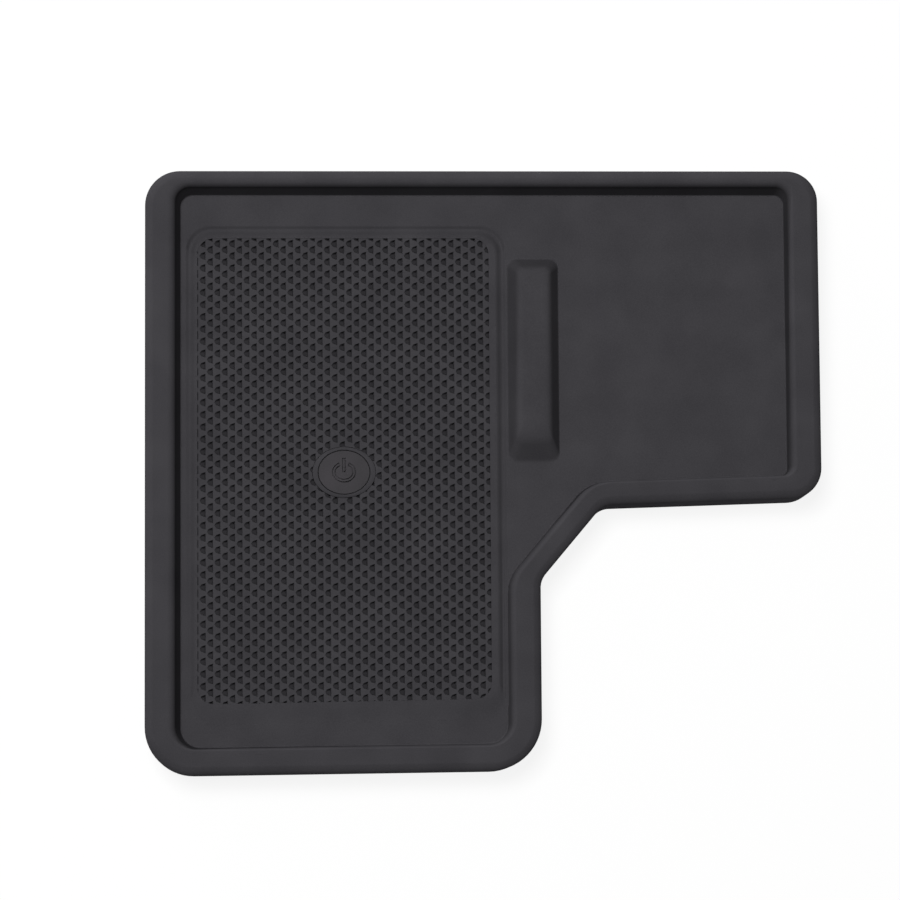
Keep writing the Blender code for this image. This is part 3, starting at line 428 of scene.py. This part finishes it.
def grained(name, dark, light, roughness, grain_mm, height_mm, mottle_mm, metallic=0.0, specular=0.5):
    """A moulded, sintered or plated surface: a fine grain moves its colour, gloss and bump, and a broad
    mottle its colour alone. Grain plus mottle goes from the dark colour to the light one."""
    made = bpy.data.materials.new(name)
    made.use_nodes = True
    tree = made.node_tree
    shader = tree.nodes["Principled BSDF"]
    shader.inputs["Metallic"].default_value = metallic
    shader.inputs["Specular IOR Level"].default_value = specular
    place = add(tree, "ShaderNodeTexCoord", {}).outputs["Object"]
    grain_inputs = {"Vector": place, "Scale": 1 / (grain_mm * MM), "Detail": GRAIN_DETAIL}
    grain = add(tree, "ShaderNodeTexNoise", grain_inputs).outputs["Fac"]
    mottle_inputs = {"Vector": place, "Scale": 1 / (mottle_mm * MM), "Detail": MOTTLE_DETAIL}
    mottle = add(tree, "ShaderNodeTexNoise", mottle_inputs).outputs["Fac"]
    both = add(tree, "ShaderNodeMath", {0: grain, 1: mottle}, operation="ADD").outputs[0]
    span = {"Value": both, "From Min": PATTERN_LOW, "From Max": PATTERN_HIGH}
    share = add(tree, "ShaderNodeMapRange", span).outputs[0]
    colours = {0: share, MIX_DARK: linear(dark), MIX_LIGHT: linear(light)}
    colour = add(tree, "ShaderNodeMix", colours, data_type="RGBA").outputs[MIX_COLOUR]
    swing = {"Value": grain, "To Min": roughness - GLOSS_SWING, "To Max": roughness + GLOSS_SWING}
    gloss = add(tree, "ShaderNodeMapRange", swing).outputs[0]
    relief = {"Height": grain, "Distance": height_mm * MM, "Strength": 1.0}
    bump = add(tree, "ShaderNodeBump", relief).outputs[0]
    for socket, source in {"Base Color": colour, "Roughness": gloss, "Normal": bump}.items():
        tree.links.new(source, shader.inputs[socket])
    return made


def finished(made, finish, body, slot, *nodes):
    """Gives a new piece its finish, the body it rides on and the solids it replaces. The slot argument is
    not used.
    """
    made.data.materials.clear()
    made.data.materials.append(finish)
    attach(made, body)
    if nodes:
        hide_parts(*nodes)


soft_touch = grained(
    "soft_touch_elastomer",
    dark="38373a",
    light="3f3e41",
    roughness=0.7,
    grain_mm=0.45,
    height_mm=0.012,
    mottle_mm=14.0,
    specular=0.0,
)
finished(tray, soft_touch, "pad", "soft_touch", "top_tray")

# Pitted field of the phone patch
# The same elastomer, moulded against an etched insert: staggered pits with a rounded left side and an
# upright right edge, deepest beside that edge, which end at the patch's frame and at the key's ring. It
# is one with the tray, and is made as a slab in its pocket.
PIT_PITCH = np.array([4.74, 3.99]) * MM
PIT_TIP = 1.6 * MM
PIT_SHOULDER = np.array([1.1, 0.85]) * MM
PIT_CORNER = np.array([0.35, 1.35]) * MM
PIT_DEEP = np.array([-0.05, 0.75]) * MM
PIT_DEPTH = 1.7 * MM
PIT_ANGLE = 26
SPARE_CELLS = 2
FIELD_SINK = 0.08 * MM
FIELD_SEAM = 0.02 * MM
SEAM_MERGE = 0.001 * MM
RING_SEAM = 0.12 * MM
RING_TRIM = 0.42 * MM


def pitted_slab(name, outline, top, under):
    """One diamond cell, with a pit whose mouth has a tip, two shoulders and two corners, and whose floor
    falls to a line between two deep points. It is repeated on a staggered lattice: the cells' middles are
    the whole multiples of the pitch and those moved by half a pitch both ways. The sheet's outer edges
    then go straight down to a flat back."""
    half_x, half_y = PIT_PITCH / 2
    shoulder_x, shoulder_y = PIT_SHOULDER
    corner_x, corner_y = PIT_CORNER
    deep_x, deep_y = PIT_DEEP
    cell = np.array(
        [
            (-half_x, 0.0, 0.0),
            (0.0, -half_y, 0.0),
            (half_x, 0.0, 0.0),
            (0.0, half_y, 0.0),
            (-PIT_TIP, 0.0, 0.0),
            (-shoulder_x, -shoulder_y, 0.0),
            (corner_x, -corner_y, 0.0),
            (corner_x, corner_y, 0.0),
            (-shoulder_x, shoulder_y, 0.0),
            (deep_x, -deep_y, -PIT_DEPTH),
            (deep_x, deep_y, -PIT_DEPTH),
        ]
    )
    land = [(0, 1, 5), (0, 5, 4), (1, 6, 5), (1, 2, 6), (2, 7, 6)]
    land += [(2, 3, 7), (3, 8, 7), (3, 0, 8), (0, 4, 8)]
    pit = [(4, 5, 9), (4, 9, 10), (4, 10, 8), (5, 6, 9), (8, 10, 7), (6, 7, 10), (6, 10, 9)]
    outline_low, outline_high = outline.min(axis=0), outline.max(axis=0)
    across, along = ((outline_high - outline_low) / 2 / PIT_PITCH).astype(int) + SPARE_CELLS
    i, j = np.meshgrid(np.arange(-across, across + 1), np.arange(-along, along + 1), indexing="ij")
    whole = np.column_stack([i.ravel(), j.ravel()]) * PIT_PITCH
    middles = (outline_low + outline_high) / 2 + np.concatenate([whole, whole + PIT_PITCH / 2])
    points = np.tile(cell, (len(middles), 1))
    points[:, :2] += np.repeat(middles, len(cell), axis=0)
    points[:, 2] += top
    faces = np.array(land + pit) + np.arange(len(middles))[:, None, None] * len(cell)
    shape = shaped(points, faces.reshape(-1, 3).tolist())
    bmesh.ops.remove_doubles(shape, verts=shape.verts, dist=SEAM_MERGE)
    edges = [edge for edge in shape.edges if edge.is_boundary]
    skirt = bmesh.ops.extrude_edge_only(shape, edges=edges)["geom"]
    low = [item for item in skirt if isinstance(item, bmesh.types.BMVert)]
    bmesh.ops.translate(shape, verts=low, vec=(0.0, 0.0, under - top))
    low_edges = [item for item in skirt if isinstance(item, bmesh.types.BMEdge) and item.is_boundary]
    bmesh.ops.edgeloop_fill(shape, edges=low_edges)
    return placed(name, shape)


field_top = PATCH_TOP - FIELD_SINK
field = pitted_slab("pitted_field", field_outline, field_top, field_under - CUT_PAST)
window = rounded(drawn_in(patch_corners, FIELD_INSET + FIELD_SEAM), FIELD_RADIUS)
worked(field, prism("field_window", window, field_under + FIELD_SEAM, cut_top), "INTERSECT")
ring_out = HOLE_GROW - RING_TRIM
ring_hole = [oval(ring_out + RING_SEAM, z, wall=1.0) for z in (FLOOR_UNDER, cut_top)]
worked(field, lofted("ring_hole", ring_hole), "DIFFERENCE")
smooth(field, PIT_ANGLE)
finished(field, soft_touch, "pad", "soft_touch")

# Key ring
# An oval ring of the same elastomer over a hard core, pushed up through the floor and held by the flange
# under it. Its rounded lip frames the power key.
BEZEL_FLANGE = 1.5 * MM
RING_LIP = 0.15 * MM
RING_LOW = 0.1 * MM
KEY_SEAM = 0.16 * MM
bezel_low, bezel_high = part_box("button_bezel")
flange_out = KEY_GAP + BEZEL_FLANGE
flange_top = FLOOR_UNDER - KEY_GAP
ring_top = bezel_high.z - RING_LOW
ring_profile = [
    (KEY_SEAM, bezel_low.z, 0.0),
    (flange_out, bezel_low.z, 1.0),
    (flange_out, flange_top, 1.0),
    (ring_out, flange_top, 1.0),
    (ring_out, field_top, 1.0),
]
for turn in quarter[1:]:
    share = turn / quarter[-1]
    grow = ring_out + (KEY_SEAM + RING_LIP - ring_out) * share
    ring_profile.append((grow, field_top + (ring_top - field_top) * math.sin(turn), 1 - share))
ring_profile.append((KEY_SEAM, ring_top - RING_LIP, 0.0))
bezel = lofted("key_ring", [oval(grow, z, wall) for grow, z, wall in ring_profile], closed=True)
smooth(bezel)
finished(bezel, soft_touch, "pad", "soft_touch", "button_bezel")

# Power key
# An oval cap of the same elastomer with a wide foot that keeps it under the ring. It is pressed straight
# down, and carries the usual power symbol moulded in relief, with a fine moat round it.
KEY_FLANGE = 1.3 * MM
KEY_FLANGE_THICKNESS = 1.0 * MM
KEY_EDGE = 0.2 * MM
KEY_CROWN = 0.06 * MM
CROWN_SHARES = np.linspace(0.9, 0.1, 9)
SYMBOL_AXES = np.array([3.3, 2.8]) * MM
SYMBOL_GAP = math.radians(30)
SYMBOL_BAR_TOP = 4.3 * MM
SYMBOL_BAR_FOOT = 0.3 * MM
SYMBOL_HALF_WIDTH = 0.28 * MM
SYMBOL_RISE = 0.15 * MM
SYMBOL_STEPS = 72
MOAT_WIDTH = 0.34 * MM
MOAT_DEPTH = 0.7 * MM
BAR_STEPS = 8
BEAD_STEPS = 9
BEAD_FULLNESS = 0.5
BEAD_ANGLE = 50
key_flange_top = key_low.z + KEY_FLANGE_THICKNESS
key_brow = key_high.z - KEY_CROWN
key_middle = np.array([KEY_X, KEY_Y, 0.0])
key_face = oval(-KEY_EDGE, 0.0)
key_rings = [oval(KEY_FLANGE, key_low.z), oval(KEY_FLANGE, key_flange_top), oval(0.0, key_flange_top)]
for rise, fall in quarter_round:
    key_rings.append(oval(-KEY_EDGE * fall, key_brow - KEY_EDGE * (1 - rise)))
for share in CROWN_SHARES:
    crown_ring = key_middle + (key_face - key_middle) * share
    crown_ring[:, 2] = key_brow + KEY_CROWN * (1 - share**2)
    key_rings.append(crown_ring)
key = lofted("power_key_cap", key_rings)


def stroke(name, path, across, up):
    """A profile of places across and up, carried square to a path's direction, with square ends."""
    ahead = np.gradient(path, axis=0)
    ahead /= np.linalg.norm(ahead, axis=1, keepdims=True)
    sideways = np.column_stack([ahead[:, 1], -ahead[:, 0]])
    flat = path[:, None, :] + sideways[:, None, :] * across[None, :, None]
    height = np.broadcast_to(key_high.z + up, flat.shape[:2])
    return lofted(name, np.concatenate([flat, height[..., None]], axis=-1))


def symbol_paths(longer):
    """The symbol's open ring, an arc of an ellipse with its gap at the back, and its upright bar, both
    drawn out by a length at each end."""
    gap = SYMBOL_GAP - longer / SYMBOL_AXES[0]
    turn = np.linspace(math.pi / 2 + gap, 2.5 * math.pi - gap, SYMBOL_STEPS)
    arc = np.array([KEY_X, KEY_Y]) + SYMBOL_AXES * np.column_stack([np.cos(turn), np.sin(turn)])
    up = np.linspace(SYMBOL_BAR_TOP + longer, SYMBOL_BAR_FOOT - longer, BAR_STEPS)
    return {"ring": arc, "bar": np.column_stack([np.full(BAR_STEPS, KEY_X), KEY_Y + up])}


moat_across = (SYMBOL_HALF_WIDTH + MOAT_WIDTH) * np.array([-1.0, 1.0, 1.0, -1.0])
moat_up = np.array([-MOAT_DEPTH, -MOAT_DEPTH, CUT_PAST, CUT_PAST])
for name, path in symbol_paths(MOAT_WIDTH).items():
    worked(key, stroke(f"moat_{name}", path, moat_across, moat_up), "DIFFERENCE")
smooth(key)
# Key elastomer: the tray's material, a shade lighter and smoother where it is touched.
key_rubber = grained(
    "key_elastomer",
    dark="3a393b",
    light="413f42",
    roughness=0.68,
    grain_mm=0.45,
    height_mm=0.010,
    mottle_mm=9.0,
    specular=0.0,
)
finished(key, key_rubber, "key", "key_rubber", "power_button")
bead_turn = np.linspace(math.pi, 0, BEAD_STEPS)
bead_root = [-MOAT_DEPTH - SYMBOL_RISE]
bead_across = SYMBOL_HALF_WIDTH * np.concatenate([[-1.0], np.cos(bead_turn), [1.0]])
bead_up = np.concatenate([bead_root, SYMBOL_RISE * np.sin(bead_turn) ** BEAD_FULLNESS, bead_root])
for name, path in symbol_paths(0.0).items():
    bead = stroke(f"power_symbol_{name}", path, bead_across, bead_up)
    smooth(bead, BEAD_ANGLE)
    finished(bead, key_rubber, "key", "key_rubber")

# Base cover, feet and screws
# The cover is a plain black ABS plate that screws to the tray from below. The feet are die-cut rubber
# discs with a shallow dish, glued on beside the screws.
FEET = 6
BASE_SCREWS = 6
FOOT_CHAMFER = 0.25 * MM
FOOT_DISH = 0.15 * MM
FOOT_LAND = 1.2 * MM
FOOT_STEPS = 64
foot_turn = np.linspace(0, 2 * math.pi, FOOT_STEPS, endpoint=False)


def numbered(name, count):
    """The names of like nodes, counted from 1."""
    return [f"{name}_{number}" for number in range(1, count + 1)]


def dressed(nodes, finish):
    """Gives solids of the frame their finish."""
    for node in nodes:
        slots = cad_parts[node].data.materials
        slots.clear()
        slots.append(finish)


def turned(name, x, y, profile):
    """A profile of radius and height turned about an upright axis."""
    rings = []
    for radius, z in profile:
        round_x = x + radius * np.cos(foot_turn)
        round_y = y + radius * np.sin(foot_turn)
        rings.append(np.column_stack([round_x, round_y, np.full(FOOT_STEPS, z)]))
    return lofted(name, rings)


# Eroded ABS: black, with a dull sheen that the mould's grain breaks up.
base_abs = grained(
    "eroded_abs", "1a1a1b", "212122", roughness=0.55, grain_mm=0.6, height_mm=0.02, mottle_mm=20.0
)
# Zinc plated steel: a cool grey metal with soft, slightly cloudy reflections.
zinc_steel = grained(
    "zinc_plated_steel",
    dark="a9abae",
    light="bcbec0",
    roughness=0.32,
    grain_mm=0.8,
    height_mm=0.004,
    mottle_mm=6.0,
    metallic=1.0,
)
# Cut rubber sheet: nearly black and dry, with hardly a highlight.
foot_rubber = grained(
    "foot_rubber", "161616", "1d1d1d", roughness=0.85, grain_mm=0.5, height_mm=0.02, mottle_mm=8.0
)
dressed(["base_cover"], base_abs)
dressed(numbered("base_screw", BASE_SCREWS), zinc_steel)
for number, node in enumerate(numbered("rubber_foot", FEET), start=1):
    foot_low, foot_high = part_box(node)
    foot_radius = (foot_high.x - foot_low.x) / 2
    foot_profile = [
        (foot_radius - FOOT_LAND - FOOT_DISH, foot_low.z + FOOT_DISH),
        (foot_radius - FOOT_LAND, foot_low.z),
        (foot_radius - FOOT_CHAMFER, foot_low.z),
        (foot_radius, foot_low.z + FOOT_CHAMFER),
        (foot_radius, foot_high.z),
    ]
    foot_x = (foot_low.x + foot_high.x) / 2
    foot_y = (foot_low.y + foot_high.y) / 2
    foot = turned(f"foot_disc_{number}", foot_x, foot_y, foot_profile)
    smooth(foot)
    finished(foot, foot_rubber, "pad", "foot_rubber", node)

# Power inlet
# A standard reversible socket behind the slot in the rear wall: a shell folded from plated steel strip,
# and inside it a contact tongue of black moulded resin.
# Moulded resin: black, with a faint silky sheen.
chip_resin = grained(
    "moulded_resin", "151516", "1b1b1c", roughness=0.5, grain_mm=0.3, height_mm=0.006, mottle_mm=4.0
)
dressed(["usb_socket_shell"], zinc_steel)
dressed(["usb_socket_tongue"], chip_resin)

# Boards, coil and the parts on them
# The boards are glass laminate under green solder mask, and carry resin packages, film capacitors and a
# ferrite choke. The coil is wound from enamelled wire on a moulded carrier with a ferrite ring under it.
# All stay as the solids are.
PACKAGES = 4
BOARD_SCREWS = 4
# Solder mask: deep green and half glossy, a little uneven as it was printed.
solder_mask = grained(
    "solder_mask", "0f4a2a", "14562f", roughness=0.38, grain_mm=1.4, height_mm=0.01, mottle_mm=9.0
)
# Film capacitor: brown and waxy where it was dipped.
film_body = grained(
    "film_capacitor", "6a4a2c", "785634", roughness=0.42, grain_mm=0.8, height_mm=0.008, mottle_mm=4.0
)
# Polyimide film: amber, smooth and softly glossy.
polyimide = grained(
    "polyimide_film", "9a5f1a", "b06f22", roughness=0.35, grain_mm=1.2, height_mm=0.004, mottle_mm=6.0
)
# Sintered ferrite: charcoal grey, dry and faintly grainy.
sintered_ferrite = grained(
    "sintered_ferrite", "2c2c2f", "38383b", roughness=0.6, grain_mm=0.4, height_mm=0.015, mottle_mm=5.0
)
# Natural ABS: a warm off-white without pigment, satin from the mould.
natural_abs = grained(
    "natural_abs", "b9b7b0", "c6c4bd", roughness=0.5, grain_mm=0.5, height_mm=0.01, mottle_mm=12.0
)
# Enamelled copper: a reddish metal with a bright line along each turn.
copper_wire = grained(
    "enamelled_copper",
    dark="9a4f24",
    light="b3622f",
    roughness=0.3,
    grain_mm=1.0,
    height_mm=0.004,
    mottle_mm=5.0,
    metallic=1.0,
)
dressed(["main_board", "switch_board"], solder_mask)
dressed(["controller_chip", "switch_case"] + numbered("power_mosfet", PACKAGES), chip_resin)
dressed(numbered("resonance_capacitor", PACKAGES), film_body)
dressed(["ribbon_cable"], polyimide)
dressed(["ferrite_ring", "power_inductor"], sintered_ferrite)
dressed(["coil_holder", "switch_plunger"], natural_abs)
dressed(["switch_snap_dome"] + numbered("board_screw", BOARD_SCREWS), zinc_steel)
dressed(["charging_coil"], copper_wire)

# Floor
# A plain pale sheet that the pad stands on. Rays that show it see it near white, rays that light the pad
# see pale paper, and it keeps the pad's soft shadow.
FLOOR_REACH = 6.0
FLOOR_GLOW = 0.88
PAPER = "f9f9f9"
WHITE = "ffffff"


def shown(tree):
    """The largest of the camera, glossy and transmission flags: 1 for a ray that shows a surface, 0 for
    one that only carries light."""
    rays = add(tree, "ShaderNodeLightPath", {}).outputs
    seen = rays["Is Camera Ray"]
    for flag in ("Is Glossy Ray", "Is Transmission Ray"):
        seen = add(tree, "ShaderNodeMath", {0: seen, 1: rays[flag]}, operation="MAXIMUM").outputs[0]
    return seen


sheet = bpy.data.meshes.new("floor")
sheet_corners = box_corners(-FLOOR_REACH, FLOOR_REACH, -FLOOR_REACH, FLOOR_REACH)
sheet.from_pydata(np.column_stack([sheet_corners, np.zeros(4)]).tolist(), [], [(0, 1, 2, 3)])
floor = bpy.data.objects.new("floor", sheet)
bpy.context.scene.collection.objects.link(floor)
pale = bpy.data.materials.new("pale_floor")
pale.use_nodes = True
tree = pale.node_tree
tree.nodes.remove(tree.nodes["Principled BSDF"])
glow_share = add(tree, "ShaderNodeMath", {0: shown(tree), 1: FLOOR_GLOW}, operation="MULTIPLY").outputs[0]
paper = add(tree, "ShaderNodeBsdfDiffuse", {"Color": linear(PAPER)}).outputs[0]
glow = add(tree, "ShaderNodeEmission", {"Color": linear(WHITE), "Strength": 1.0}).outputs[0]
mixed = add(tree, "ShaderNodeMixShader", {0: glow_share, 1: paper, 2: glow}).outputs[0]
tree.links.new(mixed, tree.nodes["Material Output"].inputs["Surface"])
sheet.materials.append(pale)

# Light
# A soft lamp over the pad, a little behind it and to its left, a low one in the same quarter that catches
# the outer edges, and an even pale room that fills the shadows.
LAMPS = {
    "soft_lamp": {"place": Vector((-0.35, 0.32, 1.6)), "width": 0.6, "height": 0.6, "watts": 29.0},
    "edge_lamp": {"place": Vector((-1.0, 1.75, 0.1)), "width": 0.6, "height": 0.06, "watts": 22.0},
}
ROOM_FILL = 0.1
for name, facts in LAMPS.items():
    lamp_data = bpy.data.lights.new(name, "AREA")
    lamp_data.shape = "RECTANGLE"
    lamp_data.size = facts["width"]
    lamp_data.size_y = facts["height"]
    lamp_data.energy = facts["watts"]
    lamp = bpy.data.objects.new(name, lamp_data)
    lamp.location = facts["place"]
    lamp.rotation_euler = (-facts["place"]).to_track_quat("-Z", "Y").to_euler()
    bpy.context.scene.collection.objects.link(lamp)
room = bpy.data.worlds.new("pale_room")
room.use_nodes = True
bpy.context.scene.world = room
tree = room.node_tree
background = tree.nodes["Background"]
background.inputs["Color"].default_value = linear(WHITE)
room_level = {"Value": shown(tree), "To Min": ROOM_FILL, "To Max": 1.0}
strength = add(tree, "ShaderNodeMapRange", room_level).outputs[0]
tree.links.new(strength, background.inputs["Strength"])

# Camera
# It looks almost straight down from a little in front of the pad and to its left, through a long lens.
# Its place and turns were fitted to the outline in the photograph.
CAMERA_PLACE = (-0.0680, -0.1261, 1.2992)
CAMERA_TILT = math.radians(5.91)
CAMERA_LEAN = math.radians(-2.53)
CAMERA_SPIN = math.radians(-0.14)
SENSOR_MM = 36.0
LENS_MM = 160.0
VIEW_END = 20.0
camera_data = bpy.data.cameras.new("camera")
camera_data.sensor_width = SENSOR_MM
camera_data.lens = LENS_MM
camera_data.clip_end = VIEW_END
camera = bpy.data.objects.new("camera", camera_data)
camera.location = CAMERA_PLACE
camera.rotation_mode = "ZYX"
camera.rotation_euler = (CAMERA_TILT, CAMERA_LEAN, CAMERA_SPIN)
bpy.context.scene.collection.objects.link(camera)
bpy.context.scene.camera = camera
bpy.context.scene.view_settings.view_transform = "Standard"
